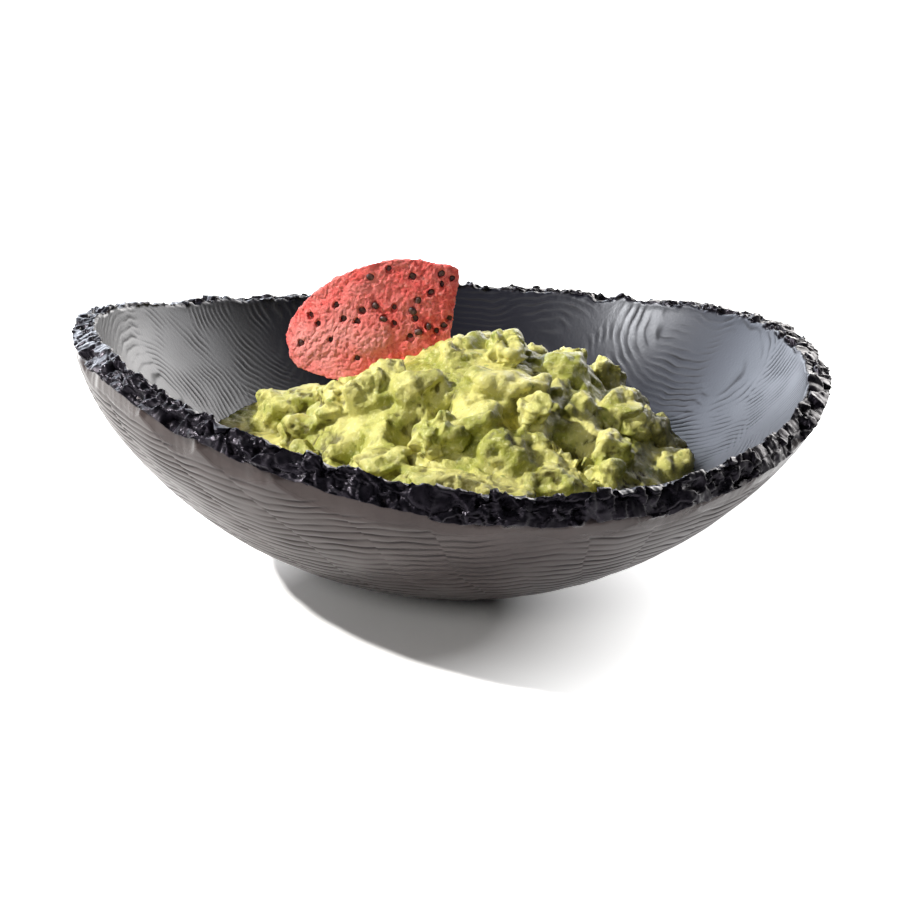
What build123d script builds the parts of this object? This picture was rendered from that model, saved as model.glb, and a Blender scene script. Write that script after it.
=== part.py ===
from build123d import *
from math import atan2, cos, degrees, hypot, pi, radians, sin, sqrt
from random import Random
import os

os.makedirs("parts", exist_ok=True)

# Frame: +Z is up and the flat base stands on Z = 0. The longer direction of the bowl lies
# along X and the low side of its rim faces -Y. All lengths are in millimetres.

# ---- Bowl: a thick shell of a sphere whose upper wall tightens towards the vertical ----
sphere_radius = 158.0
base_radius = 45.0
flare_height = 59.5  # the tighter upper arc takes over from the sphere here
flare_radius = 80.0
wall = 9.0
floor_thickness = 6.0
blank_height = 104.0

# Heights of the broken rim above the table, one station every 30 degrees from +X
rim_station = 30.0
rim_inner_heights = (75.0, 74.5, 69.0, 69.0, 69.5, 79.5, 94.0, 96.5, 86.0, 72.0, 67.5, 69.0)
rim_outer_heights = (72.0, 72.5, 66.5, 66.0, 67.0, 77.5, 91.5, 91.0, 78.0, 62.5, 57.0, 61.0)

# The break itself: a ring of small flat facets, four corners across the wall at each station
facet_count = 90
facet_shares = (-0.7, 0.3, 0.72, 1.8)  # 0 is the inner edge of the break and 1 the outer edge
facet_drift = 0.14
facet_swing = (1.3, 1.5, 1.7, 1.5)  # how far a corner leaves the mean break, along its normal
cutter_radius = 165.0
cutter_top = 130.0

# ---- Dip: a heap of mashed avocado that lies in the hollow ----
dip_gap = 0.4
heap_x = 9.0
heap_y = 12.0
heap_radius = 80.0
heap_rise = 42.0
heap_shoulder = 36.0
heap_tilt = 0.06
heap_rings = (12.0, 24.0, 36.0, 48.0, 60.0, 73.0, 90.0, 120.0)
heap_sectors = 28
lump_count = 46
lump_height = 4.2
lump_width = 8.5
lump_spread = 88.0
golden_angle = radians(137.508)

# Soft avocado pieces that stand proud of the mash: where each one is, and which way it lies
chunk_size = (14.0, 11.0, 9.5)
chunk_edge = 3.2
chunk_sink = 1.0
chunk_places = [
    (-33, -10, 20),
    (16, 8, 70),
    (40, 20, 140),
    (64, -4, 40),
    (26, -28, 100),
    (-8, -38, 10),
    (-58, -20, 60),
    (54, 34, 120),
    (10, 52, 30),
    (-42, 50, 80),
    (50, -42, 150),
]

# ---- Chip: a thin curved piece of a seeded tortilla that stands in the dip ----
chip_thickness = 2.4
chip_bend_radius = 95.0
chip_lean = 8.0
chip_foot = (-28.0, 18.0, 42.0)
chip_height = 70.0
slot_gap = 0.35
slot_growth = 1.02
seed_radius = 1.35
seed_proud = 0.55
# Seeds lie in loose clusters: distance right of the chip's centre line, and height above its foot
seed_places = [
    (-7, 59), (9, 59), (20, 60), (24, 58), (20, 56), (0, 62), (16, 53), (11, 50), (9, 46),
    (10, 43), (2, 47), (2, 41), (-2, 43), (-5, 48), (-10, 46), (-12, 42), (-17, 43), (-20, 48),
    (-27, 41), (-30, 44), (-34, 33), (-12, 28), (-22, 35), (23, 43), (15, 40), (18, 38),
    (21, 40), (8, 36), (11, 38),
]

sphere_z = sqrt(sphere_radius**2 - base_radius**2)
flare_r = sqrt(sphere_radius**2 - (sphere_z - flare_height) ** 2)
flare_share = flare_radius / sphere_radius
flare_centre_r = flare_r * (1 - flare_share)
flare_centre_z = flare_height + (sphere_z - flare_height) * flare_share


def knee_height(inset):
    """Height of the join of the two arcs, on a surface `inset` inside the outer one."""
    return flare_height + inset * (sphere_z - flare_height) / sphere_radius


def wall_radius(height, inset):
    """Radius of the wall at a height, on a surface `inset` inside the outer one."""
    if height < knee_height(inset):
        return sqrt((sphere_radius - inset) ** 2 - (sphere_z - height) ** 2)
    return flare_centre_r + sqrt((flare_radius - inset) ** 2 - (height - flare_centre_z) ** 2)


def wall_point(height, inset):
    return (wall_radius(height, inset), height)


def half_outline(inset, bottom, top):
    """Closed half outline of the space inside one surface of the wall."""
    knee = knee_height(inset)
    foot_point = wall_point(bottom, inset)
    knee_point = wall_point(knee, inset)
    top_point = wall_point(top, inset)
    Line((0, bottom), foot_point)
    ThreePointArc(foot_point, wall_point((bottom + knee) / 2, inset), knee_point)
    ThreePointArc(knee_point, wall_point((knee + top) / 2, inset), top_point)
    Line(top_point, (0, top))
    Line((0, top), (0, bottom))


def at_angle(radius, height, angle):
    return Vector(radius * cos(radians(angle)), radius * sin(radians(angle)), height)


def rim_height(heights, angle):
    """Height of the mean rim at an angle, on a smooth curve through its stations."""
    place = (angle % 360) / rim_station
    low = int(place)
    u = place - low
    a, b, c, d = (heights[(low + k) % 12] for k in (-1, 0, 1, 2))
    bend = (2 * a - 5 * b + 4 * c - d) * u**2 + (3 * b - a - 3 * c + d) * u**3
    return b + 0.5 * ((c - a) * u + bend)


def break_point(angle, share, off):
    """A point on the break, `share` of the way across the wall and `off` above the mean."""
    high = rim_height(rim_inner_heights, angle)
    low = rim_height(rim_outer_heights, angle)
    inner_r = wall_radius(high, wall)
    across = wall_radius(low, 0) - inner_r
    drop = high - low
    width = hypot(across, drop)
    radius = inner_r + share * across + off * drop / width
    return at_angle(radius, high - share * drop + off * across / width, angle)


def triangle(a, b, c):
    return Face(Wire.make_polygon([a, b, c], close=True))


# The broken rim: everything above the facets is taken off the moulded shell
chance = Random(11)
facet_rings = []
for share, swing in zip(facet_shares, facet_swing):
    corners = []
    for i in range(facet_count):
        turn = 360.0 / facet_count * (i + chance.uniform(-0.3, 0.3))
        shift = facet_drift * chance.uniform(-1, 1)
        corners.append(break_point(turn, share + shift, swing * chance.uniform(-1, 1)))
    facet_rings.append(corners)
far_corners = [at_angle(cutter_radius, p.Z, degrees(atan2(p.Y, p.X))) for p in facet_rings[-1]]
facet_rings.append(far_corners)
for corners in (far_corners, facet_rings[0]):
    facet_rings.append([Vector(p.X, p.Y, cutter_top) for p in corners])
cut_faces = []
for k in range(len(facet_rings)):
    here = facet_rings[k]
    there = facet_rings[(k + 1) % len(facet_rings)]
    for i in range(facet_count):
        j = (i + 1) % facet_count
        cut_faces.append(triangle(here[i], there[i], there[j]))
        cut_faces.append(triangle(here[i], there[j], here[j]))
rim_cutter = Solid(Shell(cut_faces))

with BuildPart() as bowl_shell:
    with BuildSketch(Plane.XZ):
        with BuildLine():
            half_outline(0, 0, blank_height)
        make_face()
    revolve(axis=Axis.Z)
    with BuildSketch(Plane.XZ):
        with BuildLine():
            half_outline(wall, floor_thickness, blank_height + 5)
        make_face()
    revolve(axis=Axis.Z, mode=Mode.SUBTRACT)
    add(rim_cutter, mode=Mode.SUBTRACT)
bowl_shell.part.label = "bowl_shell"
export_step(bowl_shell.part, "parts/bowl_shell.step")


def heap_height(x, y):
    """Height of the mash above the table, with soft lumps all over it."""
    reach = hypot(x - heap_x, y - heap_y) / heap_radius
    height = heap_shoulder - heap_tilt * x + heap_rise * max(0.0, 1 - reach**2)
    for k in range(lump_count):
        lump_r = lump_spread * sqrt((k + 0.5) / lump_count)
        lump_x = heap_x + lump_r * cos(golden_angle * k)
        lump_y = heap_y + lump_r * sin(golden_angle * k)
        width = lump_width * (1 + 0.3 * sin(4.1 * k))
        swell = lump_height * (0.6 + 0.4 * sin(2.7 * k))
        height += swell * 2.718 ** (-(((x - lump_x) ** 2 + (y - lump_y) ** 2) / width**2))
    return height


# The top of the heap is a net of flat facets, closed below into a block
heap_net = []
for k, reach in enumerate(heap_rings):
    corners = []
    for i in range(heap_sectors):
        turn = 2 * pi / heap_sectors * (i + 0.5 * (k % 2))
        x = heap_x + reach * cos(turn)
        y = heap_y + reach * sin(turn)
        corners.append(Vector(x, y, heap_height(x, y)))
    heap_net.append(corners)
heap_net.append([Vector(p.X, p.Y, 0) for p in heap_net[-1]])
heap_peak = Vector(heap_x, heap_y, heap_height(heap_x, heap_y))
heap_foot = Vector(heap_x, heap_y, 0)
heap_faces = []
for i in range(heap_sectors):
    j = (i + 1) % heap_sectors
    heap_faces.append(triangle(heap_peak, heap_net[0][i], heap_net[0][j]))
    heap_faces.append(triangle(heap_foot, heap_net[-1][j], heap_net[-1][i]))
    for k in range(len(heap_net) - 1):
        inside = heap_net[k]
        outside = heap_net[k + 1]
        heap_faces.append(triangle(inside[i], outside[i], outside[j]))
        heap_faces.append(triangle(inside[i], outside[j], inside[j]))
heap_block = Solid(Shell(heap_faces))

# The chip's own frame: local Z is the way it pulls out of the dip, local Y is its thickness
chip_plane = Plane(Location(chip_foot, (-chip_lean, 0, 0)))
chip_front = chip_plane * Plane.XZ


def bent_sheet(thickness):
    """A sheet that bulges towards the low side of the bowl, bent about the pull direction."""
    with BuildPart(mode=Mode.PRIVATE) as sheet:
        with BuildSketch(chip_plane):
            with Locations((0, chip_bend_radius)):
                Circle(chip_bend_radius + thickness / 2)
                Circle(chip_bend_radius - thickness / 2, mode=Mode.SUBTRACT)
                with Locations((0, chip_bend_radius)):
                    Rectangle(4 * chip_bend_radius, 3 * chip_bend_radius, mode=Mode.SUBTRACT)
        extrude(amount=chip_height)
    return sheet.part


def outline_face(growth):
    """A torn quarter of a round tortilla: bowed top, hollow right edge and a narrow foot.

    The outline grows about a point high on the chip, so a grown one clears it all round.
    """
    middle = 40.0

    def grown(points):
        return [(x * growth, middle + (y - middle) * growth) for x, y in points]

    crown = [(-39, 31), (-39.5, 37), (-36, 44), (-27, 54), (-10, 63), (6, 66), (17, 64.5), (27, 61.5)]
    with BuildSketch(mode=Mode.PRIVATE) as flat:
        with BuildLine():
            Spline(*grown(crown))
            Spline(*grown([(27, 61.5), (26, 52), (24, 40), (21, 20), (12, 3)]))
            Line(*grown([(12, 3), (6, 3)]))
            Spline(*grown([(6, 3), (-4, 12), (-14, 17.5), (-26, 20.5), (-35.5, 24), (-39, 31)]))
        make_face()
    return flat.sketch.face()


def chip_blank(thickness, growth):
    """The bent sheet, trimmed to the chip's outline."""
    prism = extrude(chip_front * outline_face(growth), amount=60, both=True)
    return bent_sheet(thickness) & prism


def seed_point(across, up):
    """Centre of a seed that shows on the face turned to the low side of the bowl."""
    bend = across / chip_bend_radius
    reach = chip_bend_radius + chip_thickness / 2 + seed_proud - seed_radius
    local = Location((reach * sin(bend), chip_bend_radius - reach * cos(bend), up))
    return (chip_plane.location * local).position


with BuildPart() as chip_seeds:
    for u, v in seed_places:
        with Locations(seed_point(u, v)):
            Sphere(seed_radius)
chip_seeds.part.label = "chip_seeds"
export_step(chip_seeds.part, "parts/chip_seeds.step")

chip_body = chip_blank(chip_thickness, 1)
slot_body = chip_blank(chip_thickness + 2 * slot_gap, slot_growth)

with BuildPart() as tortilla_chip:
    add(chip_body)
    add(chip_seeds.part, mode=Mode.SUBTRACT)
tortilla_chip.part.label = "tortilla_chip"
export_step(tortilla_chip.part, "parts/tortilla_chip.step")

with BuildPart() as avocado_chunks:
    for i, (x, y, turn) in enumerate(chunk_places):
        size = 1 + 0.18 * sin(2.9 * i)
        tilt = (18 * sin(1.7 * i), 16 * cos(2.3 * i), turn)
        with BuildPart(Location((x, y, heap_height(x, y) - chunk_sink), tilt), mode=Mode.PRIVATE) as chunk:
            Box(chunk_size[0] * size, chunk_size[1] * size, chunk_size[2] * size)
            fillet(chunk.edges(), chunk_edge)
        add(chunk.part)
avocado_chunks.part.label = "avocado_chunks"
export_step(avocado_chunks.part, "parts/avocado_chunks.step")

with BuildPart() as guacamole:
    with BuildSketch(Plane.XZ):
        with BuildLine():
            half_outline(wall + dip_gap, floor_thickness + dip_gap, blank_height)
        make_face()
    revolve(axis=Axis.Z)
    add(heap_block, mode=Mode.INTERSECT)
    add(avocado_chunks.part, mode=Mode.SUBTRACT)
    add(slot_body, mode=Mode.SUBTRACT)
guacamole.part.label = "guacamole"
export_step(guacamole.part, "parts/guacamole.step")
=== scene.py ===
import math

import bmesh
import bpy
import numpy as np
from mathutils import Matrix, Vector
from mathutils.bvhtree import BVHTree


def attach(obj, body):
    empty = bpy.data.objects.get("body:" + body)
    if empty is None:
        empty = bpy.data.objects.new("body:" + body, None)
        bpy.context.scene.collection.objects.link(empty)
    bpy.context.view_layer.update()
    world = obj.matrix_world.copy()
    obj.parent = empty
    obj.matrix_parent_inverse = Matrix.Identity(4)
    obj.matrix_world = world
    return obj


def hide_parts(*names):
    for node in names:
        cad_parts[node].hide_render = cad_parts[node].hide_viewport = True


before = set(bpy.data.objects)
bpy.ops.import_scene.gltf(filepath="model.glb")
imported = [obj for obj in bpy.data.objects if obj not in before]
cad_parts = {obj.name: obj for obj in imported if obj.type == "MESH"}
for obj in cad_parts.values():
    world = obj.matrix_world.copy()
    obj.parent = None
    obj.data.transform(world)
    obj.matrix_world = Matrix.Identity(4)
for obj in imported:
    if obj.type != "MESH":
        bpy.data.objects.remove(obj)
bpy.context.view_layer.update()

MM = 0.001

# ------------------------------------------------------------------ noise


def gradients(seed):
    chance = np.random.default_rng(seed)
    table = chance.normal(size=(256, 3)).astype(np.float32)
    table /= np.linalg.norm(table, axis=1, keepdims=True)
    return chance.permutation(256).astype(np.int64), table


def perlin(points, size, seed):
    """Smooth gradient noise, about -1 to 1, with features of about `size` mm."""
    order, table = gradients(seed)
    p = points.astype(np.float32) / size
    cell = np.floor(p).astype(np.int64)
    f = p - cell
    fade = f * f * f * (f * (f * 6 - 15) + 10)
    total = np.zeros(len(p), np.float32)
    for dx in (0, 1):
        wx = fade[:, 0] if dx else 1 - fade[:, 0]
        ix = order[(cell[:, 0] + dx) & 255]
        for dy in (0, 1):
            wy = fade[:, 1] if dy else 1 - fade[:, 1]
            iy = order[(ix + cell[:, 1] + dy) & 255]
            for dz in (0, 1):
                wz = fade[:, 2] if dz else 1 - fade[:, 2]
                g = table[order[(iy + cell[:, 2] + dz) & 255]]
                slope = g[:, 0] * (f[:, 0] - dx) + g[:, 1] * (f[:, 1] - dy)
                total += wx * wy * wz * (slope + g[:, 2] * (f[:, 2] - dz))
    return total * 1.7


def octaves(points, size, seed, count=4, gain=0.5):
    total = 0
    for k in range(count):
        total = total + perlin(points, size / 2**k, seed + k) * gain**k
    return total


def vector_noise(points, size, seed, count=2):
    return np.stack([octaves(points, size, seed + 11 * k, count) for k in range(3)], 1)


def cells(points, size, seed):
    """The distances to the nearest and second nearest of points scattered about `size` mm apart.

    Also the nearest one's own number from 0 to 1, and the way from it.
    """
    p = points / size
    base = np.floor(p).astype(np.int64)
    near = np.full(len(p), 9.0)
    second = np.full(len(p), 9.0)
    own = np.zeros(len(p))
    way = np.zeros((len(p), 3))
    order, _ = gradients(seed)
    spots = np.random.default_rng(seed + 1).random((256, 4))
    for dx in (-1, 0, 1):
        for dy in (-1, 0, 1):
            for dz in (-1, 0, 1):
                c = base + np.array([dx, dy, dz])
                key = order[(order[(order[c[:, 0] & 255] + c[:, 1]) & 255] + c[:, 2]) & 255]
                to = p - (c + spots[key, :3])
                d = np.sqrt((to**2).sum(1))
                closer = d < near
                second = np.where(closer, near, np.minimum(second, d))
                own = np.where(closer, spots[key, 3], own)
                way = np.where(closer[:, None], to, way)
                near = np.where(closer, d, near)
    return near * size, second * size, own, way * size


def smooth(x, low, high):
    """0 at low, 1 at high, with a soft start and end."""
    t = np.clip((x - low) / (high - low), 0, 1)
    return t * t * (3 - 2 * t)


# ------------------------------------------------------------------ bowl shape, in mm

SPHERE_R = 158.0
BASE_R = 45.0
SPHERE_Z = math.sqrt(SPHERE_R**2 - BASE_R**2)
KNEE_Z = 59.5
FLARE_R = 80.0
WALL = 9.0
FLOOR_Z = 6.0
RIM_INNER = np.array([75.0, 74.5, 69.0, 69.0, 69.5, 79.5, 94.0, 96.5, 86.0, 72.0, 67.5, 69.0])
RIM_OUTER = np.array([72.0, 72.5, 66.5, 66.0, 67.0, 77.5, 91.5, 91.0, 78.0, 62.5, 57.0, 61.0])


def rim_height(heights, turn):
    place = (turn / (math.pi / 6)) % 12
    low = np.floor(place).astype(int)
    u = place - low
    a, b, c, d = (heights[(low + k) % 12] for k in (-1, 0, 1, 2))
    bend = (2 * a - 5 * b + 4 * c - d) * u**2 + (3 * b - a - 3 * c + d) * u**3
    return b + 0.5 * ((c - a) * u + bend)


def wall_radius(height, inset):
    knee = KNEE_Z + inset * (SPHERE_Z - KNEE_Z) / SPHERE_R
    share = FLARE_R / SPHERE_R
    centre_r = math.sqrt(SPHERE_R**2 - (SPHERE_Z - KNEE_Z) ** 2) * (1 - share)
    centre_z = KNEE_Z + (SPHERE_Z - KNEE_Z) * share
    low = np.sqrt(np.maximum((SPHERE_R - inset) ** 2 - (SPHERE_Z - height) ** 2, 0))
    high = centre_r + np.sqrt(np.maximum((FLARE_R - inset) ** 2 - (height - centre_z) ** 2, 0))
    return np.where(height < knee, low, high)


def mesh_object(name, points, faces):
    """A smooth-shaded mesh object from points in mm and a list of arrays of face corners."""
    mesh = bpy.data.meshes.new(name)
    sizes = np.concatenate([np.full(len(group), group.shape[1], np.int32) for group in faces])
    corners = np.concatenate([group.ravel() for group in faces]).astype(np.int32)
    mesh.vertices.add(len(points))
    mesh.vertices.foreach_set("co", (np.asarray(points, np.float64) * MM).ravel())
    mesh.loops.add(len(corners))
    mesh.loops.foreach_set("vertex_index", corners)
    mesh.polygons.add(len(sizes))
    starts = np.concatenate([[0], np.cumsum(sizes)[:-1]]).astype(np.int32)
    mesh.polygons.foreach_set("loop_start", starts)
    mesh.update(calc_edges=True)
    mesh.polygons.foreach_set("use_smooth", np.full(len(sizes), True))
    mesh.validate()
    obj = bpy.data.objects.new(name, mesh)
    bpy.context.scene.collection.objects.link(obj)
    return obj


def points_of(obj):
    out = np.empty(len(obj.data.vertices) * 3)
    obj.data.vertices.foreach_get("co", out)
    return out.reshape(-1, 3) / MM


def set_points(obj, points):
    obj.data.vertices.foreach_set("co", (points * MM).ravel())
    obj.data.update()


def normals_of(obj):
    out = np.empty(len(obj.data.vertices) * 3)
    obj.data.vertices.foreach_get("normal", out)
    return out.reshape(-1, 3)


def store(obj, name, values):
    """A number per vertex that the materials read."""
    layer = obj.data.attributes.new(name, "FLOAT", "POINT")
    layer.data.foreach_set("value", np.asarray(values, np.float32))


BLANK_Z = 104.0  # above every part of the rim
RIM_ROUND = 140.0  # the radius at which the rim's noise is read
FOOT_RINGS = (0.2, 0.5, 0.8, 0.95)
NOT_NEAR = 99.0
FOOT, OUTSIDE, BREAK, INSIDE = range(4)

COMB_STEP = 3.7  # outside: between one combed line and the next
COMB_DEEP = 0.42
STRIP_WIDE = 27.0
ARC_STEP = 2.5  # inside: between one scraped arc and the next
ARC_DEEP = 0.14
FAN_COUNT = 22
SCOOP_DEEP = 3.0
SCOOP_SIDE = math.radians(222)  # the side where the scoops under the rim are largest
FACET = 8.0  # the break: size of its large and its small facets
FACET_SMALL = 3.4


def wall_strip(inset, low, top, count):
    """Rows of points up one face of the wall, evenly spaced along it, finer near the rim."""
    z = np.linspace(low, BLANK_Z, 900)
    r = wall_radius(z, inset)
    run = np.concatenate([[0], np.cumsum(np.hypot(np.diff(r), np.diff(z)))])
    end = np.interp(top, z, run)
    share = np.linspace(0, 1, count)
    share = share + 0.22 * share * (1 - share)
    place = share[:, None] * end[None, :]
    return np.interp(place, run, r), np.interp(place, run, z), end[None, :] - place


def bowl_grid(turn, rows_out, rows_band, rows_in):
    """The bowl's skin in rows of points, from the foot over the rim to the floor inside.

    Also how far each point lies below the break, and the zone of each row.
    """
    around = np.stack([np.cos(turn) * RIM_ROUND, np.sin(turn) * RIM_ROUND, turn * 0], 1)
    # both edges of the break wander, and the outer one is notched where flakes came off
    wander = 0.9 * octaves(around, 16, 3, 4, 0.6)
    flakes = np.maximum(octaves(around, 22, 8, 3, 0.55) - 0.1, 0) * 5.5
    top_in = rim_height(RIM_INNER, turn) + wander + 0.5 * octaves(around, 7, 31, 3)
    top_out = rim_height(RIM_OUTER, turn) + wander - flakes * 0.55 + 0.6
    r_out, z_out, below_out = wall_strip(0.0, 0.0, top_out, rows_out)
    r_in, z_in, below_in = wall_strip(WALL, FLOOR_Z, top_in, rows_in)

    # the break runs from the outer edge to the inner one, slightly crowned
    share = np.linspace(0, 1, rows_band + 2)[1:-1, None]
    crown = 0.5 * np.sin(math.pi * share)
    width = np.hypot(r_out[-1] - r_in[-1], z_in[-1] - z_out[-1])
    r_band = r_out[-1] * (1 - share) + r_in[-1] * share + crown * (z_in[-1] - z_out[-1]) / width
    z_band = z_out[-1] * (1 - share) + z_in[-1] * share + crown * (r_out[-1] - r_in[-1]) / width

    shrink = np.array(FOOT_RINGS)[:, None] * np.ones(len(turn))
    r = np.concatenate([BASE_R * shrink, r_out, r_band, r_in[::-1], r_in[0] * shrink[::-1]])
    z = np.concatenate([0 * shrink, z_out, z_band, z_in[::-1], FLOOR_Z + 0 * shrink])
    far = np.full(shrink.shape, NOT_NEAR)
    below = np.concatenate([far, below_out, 0 * z_band, below_in[::-1], far])
    rows = [len(shrink), rows_out, rows_band, rows_in, len(shrink)]
    zone = np.repeat([FOOT, OUTSIDE, BREAK, INSIDE, FOOT], rows)
    return np.stack([r * np.cos(turn), r * np.sin(turn), z], 2), below, zone


def grid_normals(grid):
    along = np.roll(grid, -1, 1) - np.roll(grid, 1, 1)
    up = np.gradient(grid, axis=0)
    normal = np.cross(along, up)
    return normal / np.maximum(np.linalg.norm(normal, axis=2, keepdims=True), 1e-9)


def combed(q, below):
    """Outside: fine lines that run level, in slanting strips that don't quite line up.

    Returns the height of each point and how deep in a groove it lies, which also sets where shade
    is painted into the grooves.
    """
    lean = np.arctan2(q[:, 1], q[:, 0]) * 130 + 0.5 * q[:, 2] + 9 * perlin(q, 60, 70)
    strip_no = np.floor(lean / STRIP_WIDE)
    in_strip = lean / STRIP_WIDE - strip_no
    offset = np.sin(strip_no * 12.9) * 2.6
    slope = np.sin(strip_no * 7.3) * 0.09
    level = q[:, 2] * 1.25 + offset + slope * (in_strip - 0.5) * STRIP_WIDE
    level = level + 3.5 * perlin(q, 38, 71)
    level = level + 0.8 * perlin(q, 9, 72)
    comb = np.abs(np.sin(math.pi * level / COMB_STEP)) ** 0.7
    strength = 0.6 + 0.5 * perlin(q, 30, 73) + 0.55 * perlin(q * [1, 1, 2.5], 13, 74)
    strength = np.clip(strength, 0.05, 1.3)
    fade = smooth(below, 5.0, 11.0) * smooth(q[:, 2], 1.0, 9.0)
    height = (COMB_DEEP * strength * (comb - 0.7) - 0.25 * (2 * in_strip - 1) ** 2) * fade
    height = height + 0.35 * perlin(q, 75, 75) * smooth(q[:, 2], 1.0, 20.0)
    return height, strength * smooth(comb, 0.82, 0.3) * fade


def scraped(q, below):
    """Inside: fans of arcs, each about its own middle. Returns heights, and how deep in a groove
    each point lies, which also sets where shade is painted into the grooves.
    """
    warped = q + 9 * vector_noise(q, 42, 80)
    places = []
    for k in range(FAN_COUNT):
        a = k * math.radians(137.5)
        level = 20 + 66 * ((k * 0.618) % 1)
        rad = float(wall_radius(np.array([level]), WALL)[0])
        places.append((rad * math.cos(a), rad * math.sin(a), level))
    places = np.array(places)
    middles = places + np.random.default_rng(5).normal(size=(FAN_COUNT, 3)) * 34
    apart = np.linalg.norm(warped[:, None] - places[None], axis=2)
    first, second = np.argsort(apart, 1)[:, :2].T
    each = np.arange(len(q))
    border = apart[each, second] - apart[each, first]

    def fan(which):
        reach = np.linalg.norm(q - middles[which], axis=1)
        reach = reach + 2.6 * perlin(q, 22, 84) + 0.6 * perlin(q, 7, 85)
        return np.abs(np.sin(math.pi * reach / ARC_STEP)) ** 0.8

    mix = 0.5 + 0.5 * smooth(border, 0, 5)
    arcs = mix * fan(first) + (1 - mix) * fan(second)
    strength = np.clip(0.5 + 0.8 * perlin(q, 34, 86) + 0.9 * perlin(q, 10, 88), 0.02, 1.4)
    fade = smooth(below, 0.5, 4.0) * smooth(q[:, 2], FLOOR_Z + 1, FLOOR_Z + 8)
    height = (ARC_DEEP * strength * (arcs - 0.62) + 0.45 * perlin(q, 45, 87)) * fade
    return height, 0.8 * strength * smooth(arcs, 0.7, 0.2) * fade


def scooped(side, below):
    """Outside, just under the break: smooth scoops like those in a shell.

    Returns their depth, and how far each point is part of one.
    """
    large = 0.35 + 0.65 * smooth(np.cos(side - SCOOP_SIDE), 0.55, 0.85)
    reach = 4.0 + 7.0 * np.abs(np.sin(side * 9.3 + 1.5 * np.sin(side * 4.7)))
    bite = np.clip(1 - below / reach, 0, 1)
    return SCOOP_DEEP * large * bite**1.2, smooth(bite, 0.02, 0.25)


def broken_off(q, n, rock, on_break):
    """How each point of the break moves: glassy facets, pits and grains."""
    w = rock[:, None]
    warp = q + 1.4 * vector_noise(q, 8, 90)
    near, second, own, way = cells(warp, FACET, 95)
    near2, second2, own2, way2 = cells(warp, FACET_SMALL, 97)
    tilt = np.random.default_rng(7).normal(size=(256, 3))
    tilt /= np.linalg.norm(tilt, axis=1, keepdims=True)
    lean = (way * tilt[(own * 255).astype(int)]).sum(1)
    lean2 = (way2 * tilt[(own2 * 255).astype(int)]).sum(1)
    rough = smooth(perlin(q, 12, 96), -0.1, 0.3)
    lift = 0.9 * (own - 0.7) + 0.26 * lean + rough * (0.45 * (own2 - 0.6) + 0.26 * lean2)
    lift -= 0.3 * np.exp(-(((second - near) / 0.4) ** 2))
    lift -= 0.25 * rough * np.exp(-(((second2 - near2) / 0.3) ** 2))
    lift -= 2.6 * smooth(perlin(q, 9.5, 99), 0.24, 0.5)
    lift -= 0.6 * rough * smooth(perlin(q, 3.1, 100), 0.25, 0.5)
    lift += 0.10 * octaves(q, 1.9, 101, 2) * rough
    shove = 0.45 * vector_noise(q, 4.6, 103)
    return n * lift[:, None] * w + shove * w * on_break[:, None] * 0.8


def build_bowl():
    columns = 1500
    rows_out = 250
    rows_band = 46
    rows_in = 300
    turn = np.arange(columns) * 2 * math.pi / columns
    grid, below, zone = bowl_grid(turn, rows_out, rows_band, rows_in)
    rows = len(grid)
    p = grid.reshape(-1, 3)
    n = grid_normals(grid).reshape(-1, 3)
    below = below.ravel()
    zone = np.repeat(zone, columns)
    outer = zone == OUTSIDE
    inner = zone == INSIDE

    height, groove_shade, shelf = np.zeros((3, len(p)))
    height[outer], groove_shade[outer] = combed(p[outer], below[outer])
    height[inner], groove_shade[inner] = scraped(p[inner], below[inner])
    scoops, shelf[outer] = scooped(np.tile(turn, rows)[outer], below[outer])
    height[outer] -= scoops

    edge_in = np.exp(-((below / 0.9) ** 2)) * inner
    edge_out = np.exp(-((below / 1.3) ** 2)) * outer
    on_break = zone == BREAK
    rock = np.clip(on_break + edge_in + edge_out, 0, 1)
    sel = rock > 0.02
    move = broken_off(p[sel], n[sel], rock[sel], on_break[sel])
    p = p + n * height[:, None]
    p[sel] += move

    index = np.arange(rows * columns).reshape(rows, columns)
    right = np.roll(index, -1, 1)
    quads = np.stack([index[:-1], right[:-1], right[1:], index[1:]], 2).reshape(-1, 4)
    bottom = len(p)
    top = bottom + 1
    p = np.concatenate([p, [[0, 0, 0], [0, 0, FLOOR_Z]]])
    caps = [
        np.stack([right[0], index[0], np.full(columns, bottom)], 1),
        np.stack([index[-1], right[-1], np.full(columns, top)], 1),
    ]
    bowl = mesh_object("bowl", p, [quads] + caps)
    # the last two points are the middles of the foot and of the floor
    store(bowl, "rock", np.concatenate([rock, [0, 0]]))
    store(bowl, "inside", np.concatenate([inner, [0, 1]]))
    store(bowl, "shelf", np.concatenate([shelf, [0, 0]]))
    # how deep in a groove each point lies: the material darkens the grooves with it, as painted
    # shade, and roughens them
    store(bowl, "groove_shade", np.concatenate([groove_shade * (1 - rock), [0, 0]]))
    return bowl


# ------------------------------------------------------------------ dip

DIP_GAP = 0.45  # between the dip and the bowl
CAVITY_R = SPHERE_R - WALL - DIP_GAP
CAVITY_Z = FLOOR_Z + DIP_GAP
HEAP_X, HEAP_Y = 9.0, 12.0
HEAP_R = 80.0
HEAP_RISE = 42.0
HEAP_SHOULDER = 36.0
HEAP_TILT = 0.06
HEAP_SINK = 3.0  # the heap under the lumps is lower by this much
LUMP_SINK = 2.8  # the small lumps are bedded by this much


def heap_height(x, y):
    reach = np.hypot(x - HEAP_X, y - HEAP_Y) / HEAP_R
    return HEAP_SHOULDER - HEAP_TILT * x + HEAP_RISE * np.maximum(0, 1 - reach**2)


def cavity_height(r):
    return np.maximum(SPHERE_Z - np.sqrt(np.maximum(CAVITY_R**2 - r**2, 0)), CAVITY_Z)


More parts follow.
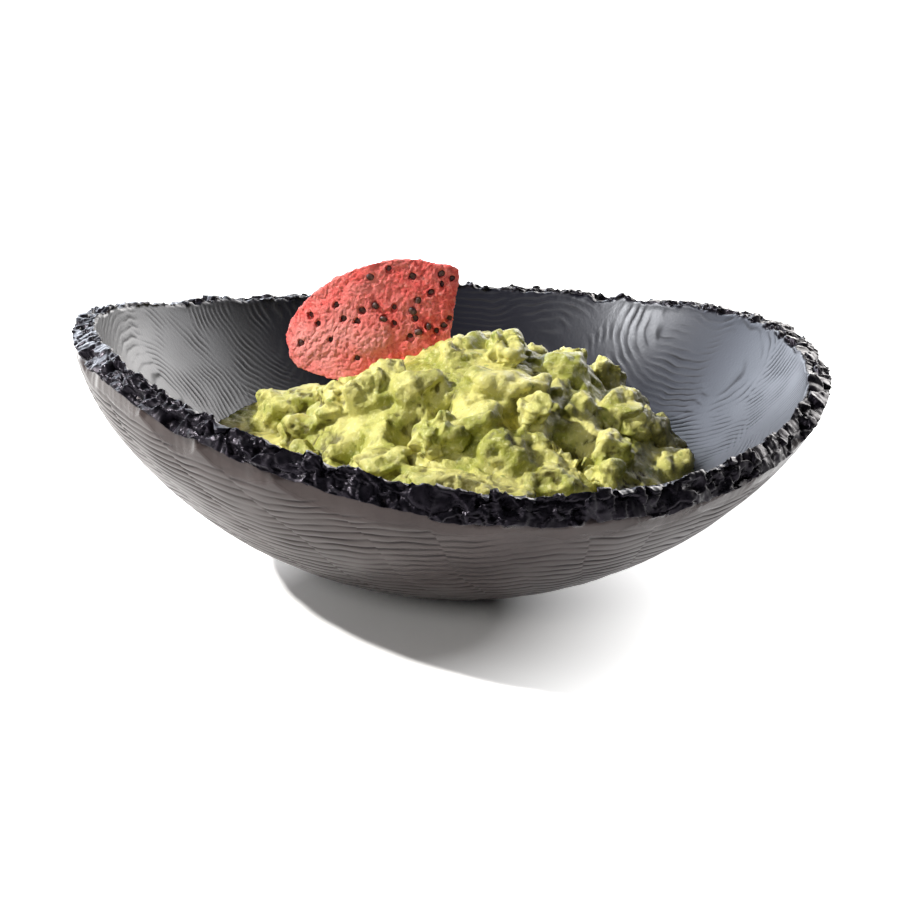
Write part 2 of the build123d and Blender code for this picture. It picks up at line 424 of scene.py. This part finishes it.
def ball(level):
    """Corners and faces of a unit ball."""
    work = bmesh.new()
    bmesh.ops.create_icosphere(work, subdivisions=level, radius=1)
    points = np.array([v.co[:] for v in work.verts])
    faces = np.array([[v.index for v in f.verts] for f in work.faces])
    work.free()
    return points, faces


def remeshed(obj, voxel, rounds):
    """obj as one closed skin of even small faces, smoothed a number of rounds."""
    skin = obj.modifiers.new("skin", "REMESH")
    skin.mode = "VOXEL"
    skin.voxel_size = voxel * MM
    soft = obj.modifiers.new("soft", "SMOOTH")
    soft.factor = 0.5
    soft.iterations = rounds
    graph = bpy.context.evaluated_depsgraph_get()
    mesh = bpy.data.meshes.new_from_object(obj.evaluated_get(graph))
    obj.modifiers.clear()
    obj.data = mesh
    obj.data.materials.clear()
    mesh.polygons.foreach_set("use_smooth", np.full(len(mesh.polygons), True))


def in_cavity(points):
    """Points kept inside the hollow of the bowl, a hair off its wall."""
    centre = np.array([0, 0, SPHERE_Z])
    to = points - centre
    far = np.linalg.norm(to, axis=1)
    out = (far > CAVITY_R) & (points[:, 2] < SPHERE_Z)
    points[out] = centre + to[out] / far[out, None] * CAVITY_R
    points[:, 2] = np.maximum(points[:, 2], CAVITY_Z)
    return points


# hollows: x, y, z, width, depth
HOLLOWS = [
    (40, -33, 55, 12, 18), (-18, -29, 60, 12, 18), (-42, -26, 51, 9, 10), (-8, -22, 66, 9, 9),
    (20, -26, 63, 8, 7), (56, -20, 52, 9, 6), (60, 24, 60, 11, 6), (-54, 6, 52, 10, 9),
    (10, 36, 70, 12, 7), (36, 44, 58, 12, 7), (-20, 60, 48, 12, 7), (74, 12, 44, 9, 9),
]
# big lumps: x, y, z and half sizes
LUMPS = [
    (-31, -7, 63, 13, 10, 12), (-45, -4, 57, 9, 8, 10), (-3, 17, 71, 14, 10, 8),
    (12, 12, 71, 9, 8, 6), (13, -12, 68, 13, 8, 8), (39, 8, 67, 8, 7, 9),
    (23, -13, 64, 12, 9, 11), (72, 0, 45, 6, 5, 6), (76, -10, 34, 9, 9, 11),
    (0, -33, 58, 15, 7, 7), (14, -41, 55, 9, 7, 7), (0, -57, 43, 24, 11, 9),
    (34, -50, 44, 13, 8, 6), (56, 2, 51, 15, 15, 10), (-60, -2, 47, 10, 8, 8),
    (-66, 34, 44, 13, 10, 9), (-16, -12, 69, 9, 7, 7), (50, -26, 50, 12, 8, 7),
    (-28, -40, 49, 11, 8, 7), (28, 38, 58, 12, 10, 8),
]
# smaller lumps, strewn over the heap: half sizes from, to, and how many
STREWN = [(6.5, 9.5, 14), (3.4, 6.0, 60), (1.5, 3.2, 150)]


def heap_skin(turn, rings):
    """The heap as a closed skin that fills the hollow, and how far it reaches each way."""
    sectors = len(turn)
    ways = np.stack([np.cos(turn), np.sin(turn)], 1)
    reach = np.zeros(sectors)
    for step in np.linspace(60, 118, 400):
        x, y = HEAP_X + ways[:, 0] * step, HEAP_Y + ways[:, 1] * step
        free = heap_height(x, y) > cavity_height(np.hypot(x, y))
        reach = np.where(free, step, reach)

    def ring(k):
        x, y = HEAP_X + ways[:, 0] * reach * k / rings, HEAP_Y + ways[:, 1] * reach * k / rings
        return x, y, cavity_height(np.hypot(x, y))

    points = [[HEAP_X, HEAP_Y, 70]]
    for k in range(1, rings + 1):
        x, y, floor_z = ring(k)
        z = heap_height(x, y) - HEAP_SINK * (1 - (k / rings) ** 6)
        points += np.stack([x, y, np.maximum(z, floor_z)], 1).tolist()
    for k in range(rings - 1, 0, -1):
        points += np.stack(ring(k), 1).tolist()
    points.append([HEAP_X, HEAP_Y, CAVITY_Z])
    index = np.arange(1, 1 + (2 * rings - 1) * sectors).reshape(-1, sectors)
    right = np.roll(index, -1, 1)
    quads = np.stack([index[:-1], index[1:], right[1:], right[:-1]], 2).reshape(-1, 4)
    first = np.stack([np.zeros(sectors, int), index[0], right[0]], 1)
    last = np.stack([np.full(sectors, len(points) - 1), right[-1], index[-1]], 1)
    return np.array(points), [quads, first, last], reach


def lump_places(chance, turn, reach):
    """The middle and half sizes of every lump, the placed ones first, then the strewn ones."""
    sizes = np.concatenate([chance.uniform(low, high, count) for low, high, count in STREWN])
    lumps = [(np.array(row[:3]), np.array(row[3:])) for row in LUMPS]
    for size in sizes:
        for _ in range(12):
            a = chance.uniform(0, 2 * math.pi)
            edge = np.interp(a, np.append(turn, 2 * math.pi), np.append(reach, reach[0]))
            far = edge * math.sqrt(chance.uniform(0, 0.86))
            x, y = HEAP_X + math.cos(a) * far, HEAP_Y + math.sin(a) * far
            # the smaller ones keep together in patches
            if size > 6 or perlin(np.array([[x, y, 0.0]]), 24, 62)[0] > 0.0:
                break
        z = float(heap_height(x, y)) - LUMP_SINK - 0.5 * size + chance.uniform(-1.5, 2.2)
        lumps.append((np.array([x, y, z]), chance.uniform(0.6, 1.45, 3) * size))
    return lumps


def lump_skin(unit, k, half, turned):
    """A ball made blocky and irregular, differently for each number k."""
    flat = np.abs(unit).max(1, keepdims=True)
    local = unit / flat ** (0.75 if k % 2 else 0.35)
    local = local * (0.92 + 0.36 * octaves(unit * 9 + k * 31.7, 8, 40, 3)[:, None])
    return (local * half) @ turned.T


def build_mash():
    chance = np.random.default_rng(21)
    sectors, rings = 120, 40
    turn = np.arange(sectors) * 2 * math.pi / sectors
    points, faces, reach = heap_skin(turn, rings)
    groups_p, groups_f, base = [points], faces, len(points)

    # lumps of every size lie on the heap, the big ones few, the small ones many
    unit, ball_faces = ball(4)
    for k, (place, half) in enumerate(lump_places(chance, turn, reach)):
        angle = chance.uniform(0, 6.28)
        turned = Matrix.Rotation(angle, 3, Vector(chance.normal(size=3)).normalized())
        if k < len(LUMPS):  # the placed ones are only tipped a little
            turned = Matrix.Rotation(chance.uniform(-0.4, 0.4), 3, "Y")
        blob = lump_skin(unit, k, half, np.array(turned)) + place
        groups_p.append(blob)
        groups_f.append(ball_faces + base)
        base += len(blob)
    mash = mesh_object("mash_raw", np.concatenate(groups_p), groups_f)
    remeshed(mash, 0.85, 8)

    # the hollows are pressed in, half along the surface's own way and half straight down
    p = points_of(mash)
    n = normals_of(mash)
    top = smooth(n[:, 2], -0.3, 0.2)
    for x, y, z, wide, deep in HOLLOWS:
        d = np.linalg.norm((p - [x, y, z]) * [1, 1, 0.7], axis=1) / wide
        p = p - n * (deep * np.clip(1 - d**2, 0, 1) ** 2 * top)[:, None] * 0.5
        p[:, 2] -= deep * 0.5 * np.clip(1 - d**2, 0, 1) ** 2 * top
    set_points(mash, p)

    # then the mash's own grain, ridges and fine crumbs
    n = normals_of(mash)
    busy = smooth(perlin(p, 22, 60), -0.15, 0.3)
    grain = 1.3 * octaves(p * [0.8, 1.2, 1], 9.0, 50, 3) * (0.45 + 0.55 * busy)
    ridge = 1.3 * (0.45 - np.abs(octaves(p * [0.7, 1.2, 1], 5.0, 53, 3))) * (0.1 + 0.9 * busy)
    fine = 0.52 * octaves(p, 2.8, 55, 3) * (0.4 + 0.6 * busy)
    lift = (grain + ridge + fine) * top
    p = in_cavity(p + n * lift[:, None] + 0.7 * vector_noise(p, 5, 58, 1) * top[:, None])
    set_points(mash, p)
    # the lift also tells the material where to paint shade in the crevices
    store(mash, "lift", grain + ridge + 2 * fine)
    store(mash, "tone", octaves(p, 17, 61, 3))
    return mash


def softened(part, name, voxel, swell, seed, rough, rounds):
    """A CAD node's own shape, skinned finely, rounded, swollen and made irregular."""
    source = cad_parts[part]
    obj = bpy.data.objects.new(name, source.data.copy())
    obj.matrix_world = source.matrix_world.copy()
    bpy.context.scene.collection.objects.link(obj)
    bpy.context.view_layer.update()
    obj.data.transform(obj.matrix_world)
    obj.matrix_world = Matrix()
    remeshed(obj, voxel, rounds)
    p = points_of(obj)
    n = normals_of(obj)
    lift = swell + rough * octaves(p, 7, seed, 3, 0.55) + 0.22 * octaves(p, 2.1, seed + 5, 2)
    set_points(obj, p + n * lift[:, None] + rough * 0.8 * vector_noise(p, 9, seed + 9, 2))
    return obj


def build_chunks():
    voxel = 0.55
    chunks = softened("avocado_chunks", "avocado_chunks_look", voxel, 0.3, 140, 2.4, 8)
    p = in_cavity(points_of(chunks))
    set_points(chunks, p)
    # on the chunks this lift is only noise, so the painted shade colour falls in random patches
    store(chunks, "lift", 0.6 * octaves(p, 4, 150, 3))
    store(chunks, "tone", octaves(p, 17, 61, 3) + 0.1)
    return chunks


# ------------------------------------------------------------------ chip


def build_chip():
    voxel = 0.42
    chip = softened("tortilla_chip", "chip_look", voxel, -0.25, 200, 0.0, 2)
    p = points_of(chip)
    n = normals_of(chip)
    facing = np.abs(n[:, 1]) ** 2
    blister = smooth(perlin(p, 16, 210), 0.05, 0.6)
    low_left = np.exp(-(((p[:, 0] + 50) / 16) ** 2 + ((p[:, 2] - 72) / 10) ** 2))
    puff = 0.9 * blister + 1.1 * low_left
    pores = -0.22 * smooth(perlin(p, 1.8, 214), 0.25, 0.7)
    pores = pores - 0.3 * smooth(perlin(p, 1.0, 215), 0.2, 0.6)
    lift = puff * facing + 0.28 * octaves(p, 4.2, 212, 3) + pores + 0.16 * octaves(p, 1.0, 217, 2)
    rim_noise = 0.55 * vector_noise(p, 5, 219, 2) * (1 - facing)[:, None]
    bend = 1.3 * perlin(p * [1, 0, 1], 34, 221) + 0.5 * perlin(p * [1, 0, 1], 15, 222)
    p = p + n * lift[:, None] + rim_noise
    p[:, 1] += bend
    set_points(chip, p)
    store(chip, "puff", puff + 0.8 * octaves(p, 9, 230, 3))
    store(chip, "pores", pores)
    return chip


def solid_middles(name):
    """The middle of each separate solid in a CAD node, in mm."""
    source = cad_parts[name]
    work = bmesh.new()
    work.from_mesh(source.data)
    work.transform(source.matrix_world)
    left = set(work.verts)
    middles = []
    for start in work.verts:
        if start not in left:
            continue
        left.remove(start)
        stack, part = [start], []
        while stack:
            v = stack.pop()
            part.append(v)
            for e in v.link_edges:
                w = e.other_vert(v)
                if w in left:
                    left.remove(w)
                    stack.append(w)
        middles.append(sum((v.co for v in part), Vector()) / len(part) / MM)
    work.free()
    return sorted(middles, key=lambda c: (round(c.x, 3), round(c.z, 3)))


def front_finder(chip):
    """A function that tells how far forward the chip's face lies at a place, in metres."""
    mesh = chip.data
    corners = [v.co for v in mesh.vertices]
    tree = BVHTree.FromPolygons(corners, [face.vertices[:] for face in mesh.polygons])

    def front(point):
        hit = tree.ray_cast(Vector((point.x, -0.2, point.z)), Vector((0, 1, 0)))[0]
        return hit.y if hit is not None else point.y

    return front


def build_seeds(chip):
    """One creased seed at the place of each solid in the CAD node, set in the chip's face."""
    chance = np.random.default_rng(77)
    unit, faces = ball(3)
    groups_p, groups_f, base = [], [], 0
    front = front_finder(chip)
    for k, c in enumerate(solid_middles("chip_seeds")):
        y = front(Vector(c) * MM)
        size = chance.uniform(0.85, 1.25)
        local = unit * [1.45, 0.95, 1.1] * size
        local[:, 1] *= 1 - 0.25 * np.exp(-((local[:, 0] / 0.35) ** 2))
        local += 0.12 * vector_noise(local + k * 17, 1.1, 300, 1)
        spin = np.array(Matrix.Rotation(chance.uniform(0, 3.1), 3, "Y"))
        blob = local @ spin.T + np.array(c)[None]
        blob[:, 1] += y / MM - c[1] + 0.05
        groups_p.append(blob)
        groups_f.append(faces + base)
        base += len(blob)
    return mesh_object("seeds_look", np.concatenate(groups_p), groups_f)


# ------------------------------------------------------------------ materials


def material(name):
    m = bpy.data.materials.new(name)
    m.use_nodes = True
    return m, m.node_tree, m.node_tree.nodes["Principled BSDF"]


def node(tree, kind, **values):
    made = tree.nodes.new(kind)
    for key, value in values.items():
        if key in made.inputs:
            made.inputs[key].default_value = value
        else:
            setattr(made, key, value)
    return made


def ramp(tree, source, stops):
    made = tree.nodes.new("ShaderNodeValToRGB")
    bar = made.color_ramp.elements
    while len(bar) < len(stops):
        bar.new(0.5)
    for slot, (place, colour) in zip(bar, stops):
        slot.position = place
        slot.color = (*colour, 1)
    tree.links.new(source, made.inputs["Fac"])
    return made.outputs["Color"]


def span(tree, source, low, high, to_low, to_high):
    made = node(tree, "ShaderNodeMapRange")
    made.inputs["From Min"].default_value = low
    made.inputs["From Max"].default_value = high
    made.inputs["To Min"].default_value = to_low
    made.inputs["To Max"].default_value = to_high
    tree.links.new(source, made.inputs["Value"])
    return made.outputs["Result"]


def noise(tree, scale, detail, rough=0.55):
    place = tree.nodes.new("ShaderNodeTexCoord")
    made = node(tree, "ShaderNodeTexNoise", Scale=scale, Detail=detail, Roughness=rough)
    tree.links.new(place.outputs["Object"], made.inputs["Vector"])
    return made.outputs["Fac"]


def reading(tree, name):
    return node(tree, "ShaderNodeAttribute", attribute_name=name).outputs["Fac"]


def mixed(tree, factor, a, b):
    made = node(tree, "ShaderNodeMix", data_type="RGBA")
    tree.links.new(factor, made.inputs["Factor"])
    for socket, value in ((6, a), (7, b)):
        if isinstance(value, tuple):
            made.inputs[socket].default_value = (*value, 1)
        else:
            tree.links.new(value, made.inputs[socket])
    return made.outputs[2]


def blend_value(tree, factor, a, b):
    made = node(tree, "ShaderNodeMix", data_type="FLOAT")
    tree.links.new(factor, made.inputs["Factor"])
    for socket, value in ((2, a), (3, b)):
        if isinstance(value, float):
            made.inputs[socket].default_value = value
        else:
            tree.links.new(value, made.inputs[socket])
    return made.outputs[0]


def bump(tree, source, distance, strength, under=None):
    made = node(tree, "ShaderNodeBump", Strength=strength, Distance=distance)
    tree.links.new(source, made.inputs["Height"])
    if under is not None:
        tree.links.new(under, made.inputs["Normal"])
    return made.outputs["Normal"]


def bowl_material():
    m, tree, shader = material("bowl_black")
    rock = reading(tree, "rock")
    inside = reading(tree, "inside")
    wear = noise(tree, 38, 5)
    # the inside gets a darker, bluer body colour than the outside: painted shade in the bowl's
    # hollow
    outer = ramp(tree, wear, [(0.3, (0.024, 0.0185, 0.018)), (0.7, (0.041, 0.032, 0.031))])
    inner = ramp(tree, wear, [(0.3, (0.006, 0.006, 0.011)), (0.7, (0.011, 0.011, 0.018))])
    body = mixed(tree, inside, outer, inner)
    groove_shade = reading(tree, "groove_shade")
    # the grooves are darkened to near black: painted shade in the creases
    body = mixed(tree, span(tree, groove_shade, 0.0, 0.9, 0.0, 0.9), body, (0.004, 0.003, 0.004))
    crust_tones = [(0.35, (0.002, 0.002, 0.003)), (0.7, (0.008, 0.007, 0.010))]
    crust = ramp(tree, noise(tree, 260, 3), crust_tones)
    tree.links.new(mixed(tree, rock, body, crust), shader.inputs["Base Color"])
    calm = span(tree, noise(tree, 22, 4), 0.3, 0.7, 0.32, 0.41)
    calm = blend_value(tree, span(tree, groove_shade, 0.0, 0.9, 0.0, 1.0), calm, 0.75)
    calm = blend_value(tree, reading(tree, "shelf"), calm, 0.2)
    glass = span(tree, noise(tree, 420, 2), 0.35, 0.65, 0.22, 0.46)
    tree.links.new(blend_value(tree, rock, calm, glass), shader.inputs["Roughness"])
    shader.inputs["IOR"].default_value = 1.43
    # the outside reflects about half as much, and warmer, than the inside: painted shade on the
    # outside and a painted blue cast on the inside's reflections
    shine = mixed(tree, inside, (0.54, 0.48, 0.47), (0.70, 0.73, 0.80))
    tree.links.new(mixed(tree, rock, shine, (0.34, 0.30, 0.38)), shader.inputs["Specular Tint"])
    fine = bump(tree, noise(tree, 900, 3), 0.00010, 0.4)
    crumbs = blend_value(tree, rock, 0.0, noise(tree, 520, 3, 0.6))
    tree.links.new(bump(tree, crumbs, 0.0004, 0.3, fine), shader.inputs["Normal"])
    return m


def mash_material(name, light, dark, shade_colour):
    m, tree, shader = material(name)
    tone = span(tree, reading(tree, "tone"), -0.4, 0.5, 0.0, 1.0)
    lift = span(tree, reading(tree, "lift"), -0.75, 0.75, 0.0, 1.0)
    skin = mixed(tree, tone, dark, light)
    skin = mixed(tree, span(tree, noise(tree, 150, 5), 0.5, 0.68, 0.0, 0.7), skin, light)
    cream = span(tree, noise(tree, 520, 3), 0.55, 0.7, 0.0, 0.5)
    skin = mixed(tree, cream, skin, (0.80, 0.78, 0.42))
    green = span(tree, noise(tree, 240, 4), 0.38, 0.27, 0.0, 0.7)
    skin = mixed(tree, green, skin, (0.16, 0.22, 0.025))
    # the lowest places turn near-black brown: painted shade in the crevices
    skin = mixed(tree, span(tree, lift, 0.0, 0.45, 0.85, 0.0), skin, shade_colour)
    tree.links.new(skin, shader.inputs["Base Color"])
    shader.inputs["Subsurface Weight"].default_value = 0.12
    shader.inputs["Subsurface Radius"].default_value = (0.0035, 0.003, 0.001)
    shader.inputs["Subsurface Scale"].default_value = 0.6
    wet = span(tree, noise(tree, 300, 4), 0.35, 0.65, 0.28, 0.6)
    tree.links.new(wet, shader.inputs["Roughness"])
    shader.inputs["IOR"].default_value = 1.4
    grain = bump(tree, noise(tree, 560, 5, 0.65), 0.0009, 0.85)
    tree.links.new(bump(tree, noise(tree, 1500, 3), 0.0003, 0.7, grain), shader.inputs["Normal"])
    return m


def chip_material():
    m, tree, shader = material("tortilla")
    puff = span(tree, reading(tree, "puff"), -0.3, 1.6, 0.0, 1.0)
    speck = noise(tree, 520, 5, 0.75)
    reds = [(0.3, (0.72, 0.06, 0.052)), (0.52, (0.97, 0.14, 0.12)), (0.74, (1.0, 0.36, 0.31))]
    red = ramp(tree, speck, reds)
    skin = mixed(tree, puff, red, (0.92, 0.31, 0.28))
    # the pits are darkened to deep red: painted shade in the pores
    pore_shade = span(tree, reading(tree, "pores"), -0.55, -0.1, 0.6, 0.0)
    skin = mixed(tree, pore_shade, skin, (0.36, 0.045, 0.04))
    tree.links.new(skin, shader.inputs["Base Color"])
    shader.inputs["Roughness"].default_value = 0.72
    shader.inputs["Subsurface Weight"].default_value = 0.1
    shader.inputs["Subsurface Radius"].default_value = (0.002, 0.0006, 0.0005)
    shader.inputs["Subsurface Scale"].default_value = 0.5
    grain = bump(tree, noise(tree, 1000, 5, 0.75), 0.0010, 1.0)
    tree.links.new(grain, shader.inputs["Normal"])
    return m


def seed_material():
    m, tree, shader = material("seed")
    browns = [(0.35, (0.030, 0.014, 0.014)), (0.65, (0.12, 0.055, 0.045))]
    tree.links.new(ramp(tree, noise(tree, 600, 4), browns), shader.inputs["Base Color"])
    shader.inputs["Roughness"].default_value = 0.45
    tree.links.new(bump(tree, noise(tree, 1500, 4), 0.0002, 0.7), shader.inputs["Normal"])
    return m


bowl = build_bowl()
mash = build_mash()
chunks = build_chunks()
chip = build_chip()
seeds = build_seeds(chip)

# light and dark colours, and the colour of the painted shade in the crevices
MASH_TONES = ((0.64, 0.60, 0.20), (0.335, 0.345, 0.062), (0.09, 0.075, 0.006))
CHUNK_TONES = ((0.64, 0.605, 0.20), (0.35, 0.365, 0.066), (0.10, 0.085, 0.007))
looks = (
    (bowl, bowl_material(), "bowl", "bowl_shell", "bowl_black"),
    (mash, mash_material("mash", *MASH_TONES), "dip", "guacamole", "mash"),
    (chunks, mash_material("avocado", *CHUNK_TONES), "dip", "avocado_chunks", "avocado"),
    (chip, chip_material(), "chip", "tortilla_chip", "tortilla"),
    (seeds, seed_material(), "chip", "chip_seeds", "seed"),
)
for piece, look, body, part, slot in looks:
    piece.data.materials.append(look)
    piece.name = slot + "_look"
    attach(piece, body)
    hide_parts(part)

# ------------------------------------------------------------------ studio, in metres

SHADOW_MIDDLE = (-0.028, -0.058, 0)  # round here the floor shows the bowl's shadow
SHADOW_REACH = (0.04, 0.105)
CAMERA_PLACE = (-0.00484, -0.7951, 0.3273)
CAMERA_DOWN = math.radians(19.84)

floor_mesh = bpy.data.meshes.new("floor")
floor_mesh.from_pydata([(-4, -4, 0), (4, -4, 0), (4, 6, 0), (-4, 6, 0)], [], [(0, 1, 2, 3)])
floor = bpy.data.objects.new("floor", floor_mesh)
bpy.context.scene.collection.objects.link(floor)
paper, paper_tree, paper_shader = material("paper")
paper_shader.inputs["Base Color"].default_value = (0.86, 0.86, 0.86, 1)
paper_shader.inputs["Roughness"].default_value = 0.8
paper_shader.inputs["Emission Color"].default_value = (1, 1, 1, 1)
# the paper glows, as painted light, only away from the bowl: the glow whitens the floor, paints
# out the bowl's shadow there and lights the bowl from below, while the shadow near the bowl stays
spot = paper_tree.nodes.new("ShaderNodeTexCoord")
away = node(paper_tree, "ShaderNodeVectorMath", operation="DISTANCE")
away.inputs[1].default_value = SHADOW_MIDDLE
paper_tree.links.new(spot.outputs["Object"], away.inputs[0])
painted_glow = span(paper_tree, away.outputs["Value"], *SHADOW_REACH, 0.0, 1.0)
paper_tree.links.new(painted_glow, paper_shader.inputs["Emission Strength"])
floor_mesh.materials.append(paper)
bpy.context.scene.view_settings.view_transform = "Standard"

# the room is bright low down, behind and at the sides, and dark high up in front
world = bpy.data.worlds.new("studio")
bpy.context.scene.world = world
world.use_nodes = True
sky = world.node_tree
glow = sky.nodes["Background"]
where = sky.nodes.new("ShaderNodeTexCoord")
front = node(sky, "ShaderNodeVectorMath", operation="DOT_PRODUCT")
front.inputs[1].default_value = (0, -0.4, 0.92)
sky.links.new(where.outputs["Generated"], front.inputs[0])
dim = span(sky, front.outputs["Value"], -0.1, 0.4, 0.9, 0.03)
sky.links.new(dim, glow.inputs["Strength"])
glow.inputs["Color"].default_value = (1, 1, 1, 1)


def soft_light(name, place, aim, size, power, colour):
    lamp = bpy.data.lights.new(name, "AREA")
    lamp.shape = "RECTANGLE"
    lamp.size, lamp.size_y = size
    lamp.energy = power
    lamp.color = colour
    obj = bpy.data.objects.new(name, lamp)
    obj.location = place
    obj.rotation_euler = (Vector(aim) - Vector(place)).to_track_quat("-Z", "Y").to_euler()
    bpy.context.scene.collection.objects.link(obj)
    return obj


soft_light("key", (-1.26, -0.16, 1.22), (0, 0, 0.05), (0.06, 0.06), 50, (1.0, 0.98, 0.94))
soft_light("front", (-0.8, -1.1, 0.75), (0, 0, 0.08), (0.5, 0.5), 8, (1.0, 0.98, 0.95))
for name, place, aim, power, colour in (
    ("back_right", (1.0, 1.35, 0.65), (-0.06, 0, 0.07), 54, (1.0, 0.97, 0.94)),
    ("back_left", (-1.0, 1.35, 0.65), (0.06, 0, 0.07), 48, (0.84, 0.90, 1.0)),
):
    soft_light(name, place, aim, (2.0, 1.2), power, colour).visible_diffuse = False

view = bpy.data.cameras.new("camera")
view.lens = 90
view.sensor_width = 36
camera = bpy.data.objects.new("camera", view)
camera.location = CAMERA_PLACE
camera.rotation_euler = (math.pi / 2 - CAMERA_DOWN, 0, 0)
view.clip_end = 30
bpy.context.scene.collection.objects.link(camera)
bpy.context.scene.camera = camera
